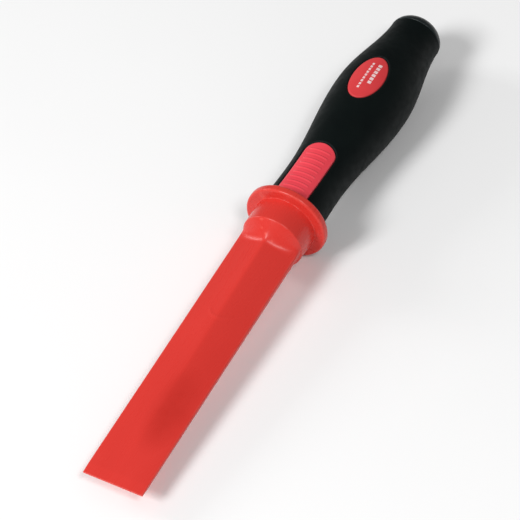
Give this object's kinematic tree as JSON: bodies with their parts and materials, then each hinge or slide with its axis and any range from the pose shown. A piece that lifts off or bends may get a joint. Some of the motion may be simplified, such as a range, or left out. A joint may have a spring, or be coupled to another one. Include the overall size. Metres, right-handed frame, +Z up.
{
  "type": "flat plastic chisel",
  "caption": "Flat chisel with a red moulded plastic blade, round hand guard, ribbed thumb rest and black soft-grip handle with an oval label.",
  "frame": {"origin": "middle of the overall length and width, at the lowest point of the hand guard's rim", "axes": "+X along the tool from the butt to the blade tip, +Y across the blade, +Z up, on the thumb rest's side"},
  "size_m": [0.3078, 0.0414, 0.0414],
  "materials": {
    "blade_nylon": "satin moulded",
    "hidden_steel": "drawn",
    "core_plastic": "semi-gloss moulded",
    "grip_rubber": "fine matt texture",
    "label_plastic": "semi-gloss printed",
    "cap_plastic": "semi-gloss moulded"
  },
  "bodies": {
    "root": {"blade_moulding": "blade_nylon", "steel_core_bar": "hidden_steel", "tang_pin": "hidden_steel", "handle_core": "core_plastic", "soft_grip": "grip_rubber", "oval_label": "label_plastic", "end_cap": "cap_plastic"}
  },
  "joints": []
}
